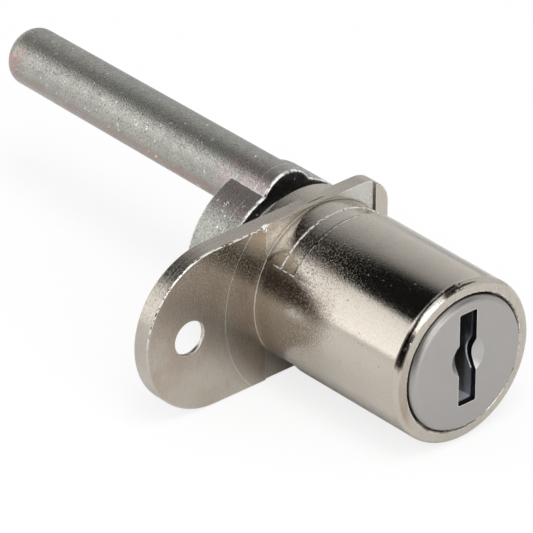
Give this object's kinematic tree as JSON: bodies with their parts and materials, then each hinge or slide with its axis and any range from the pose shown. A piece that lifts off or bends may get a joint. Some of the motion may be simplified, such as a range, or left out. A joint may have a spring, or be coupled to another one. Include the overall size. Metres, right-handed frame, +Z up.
{
  "type": "pedestal furniture lock",
  "caption": "Round wafer lock barrel on an oval screw flange; the keyed plug turns an eccentric drive pin that works a pedestal's locking bar.",
  "frame": {"origin": "where the barrel's axis meets the mounting face of the flange", "axes": "+Y along the barrel's axis from the keyway to the drive pin's tip, +Z up, the flange's long end towards -X"},
  "size_m": [0.0341, 0.0723, 0.0205],
  "materials": {
    "nickel_plate": "nickel-plated zinc casting, semi-bright",
    "satin_steel": "satin stainless sheet",
    "plug_alloy": "plain zinc casting",
    "wafer_brass": "stamped brass",
    "spring_steel": "spring steel",
    "zinc_plate": "zinc-plated with a faint passivation tint",
    "screw_steel": "bright zinc-plated steel"
  },
  "bodies": {
    "housing": {"housing": "nickel_plate"},
    "plug": {"plug": "plug_alloy", "face_cap": "satin_steel", "drive_cam": "zinc_plate", "cam_screw": "screw_steel", "lock_washer": "spring_steel", "wafer_spring_1": "spring_steel", "wafer_spring_2": "spring_steel", "wafer_spring_3": "spring_steel", "wafer_spring_4": "spring_steel", "wafer_spring_5": "spring_steel", "wafer_spring_6": "spring_steel", "wafer_spring_7": "spring_steel", "wafer_spring_8": "spring_steel"},
    "wafer_1": {"wafer_1": "wafer_brass"},
    "wafer_2": {"wafer_2": "wafer_brass"},
    "wafer_3": {"wafer_3": "wafer_brass"},
    "wafer_4": {"wafer_4": "wafer_brass"},
    "wafer_5": {"wafer_5": "wafer_brass"},
    "wafer_6": {"wafer_6": "wafer_brass"},
    "wafer_7": {"wafer_7": "wafer_brass"},
    "wafer_8": {"wafer_8": "wafer_brass"}
  },
  "joints": [
    {"name": "plug_turn", "type": "hinge", "parent": "housing", "child": "plug", "pos_m": [0, 0, 0], "axis": [0, 1, 0], "range_deg": [0, 180]},
    {"name": "wafer_1_slide", "type": "slide", "parent": "plug", "child": "wafer_1", "axis": [0, 0, 1], "range_m": [0, 0.0008], "stiffness_N_per_m": 120, "springref_m": 0.0012, "deforming": ["wafer_spring_1"]},
    {"name": "wafer_2_slide", "type": "slide", "parent": "plug", "child": "wafer_2", "axis": [0, 0, 1], "range_m": [0, 0.0008], "stiffness_N_per_m": 120, "springref_m": 0.0012, "deforming": ["wafer_spring_2"]},
    {"name": "wafer_3_slide", "type": "slide", "parent": "plug", "child": "wafer_3", "axis": [0, 0, 1], "range_m": [0, 0.0008], "stiffness_N_per_m": 120, "springref_m": 0.0012, "deforming": ["wafer_spring_3"]},
    {"name": "wafer_4_slide", "type": "slide", "parent": "plug", "child": "wafer_4", "axis": [0, 0, 1], "range_m": [0, 0.0008], "stiffness_N_per_m": 120, "springref_m": 0.0012, "deforming": ["wafer_spring_4"]},
    {"name": "wafer_5_slide", "type": "slide", "parent": "plug", "child": "wafer_5", "axis": [0, 0, 1], "range_m": [0, 0.0008], "stiffness_N_per_m": 120, "springref_m": 0.0012, "deforming": ["wafer_spring_5"]},
    {"name": "wafer_6_slide", "type": "slide", "parent": "plug", "child": "wafer_6", "axis": [0, 0, 1], "range_m": [0, 0.0008], "stiffness_N_per_m": 120, "springref_m": 0.0012, "deforming": ["wafer_spring_6"]},
    {"name": "wafer_7_slide", "type": "slide", "parent": "plug", "child": "wafer_7", "axis": [0, 0, 1], "range_m": [0, 0.0008], "stiffness_N_per_m": 120, "springref_m": 0.0012, "deforming": ["wafer_spring_7"]},
    {"name": "wafer_8_slide", "type": "slide", "parent": "plug", "child": "wafer_8", "axis": [0, 0, 1], "range_m": [0, 0.0008], "stiffness_N_per_m": 120, "springref_m": 0.0012, "deforming": ["wafer_spring_8"]}
  ]
}
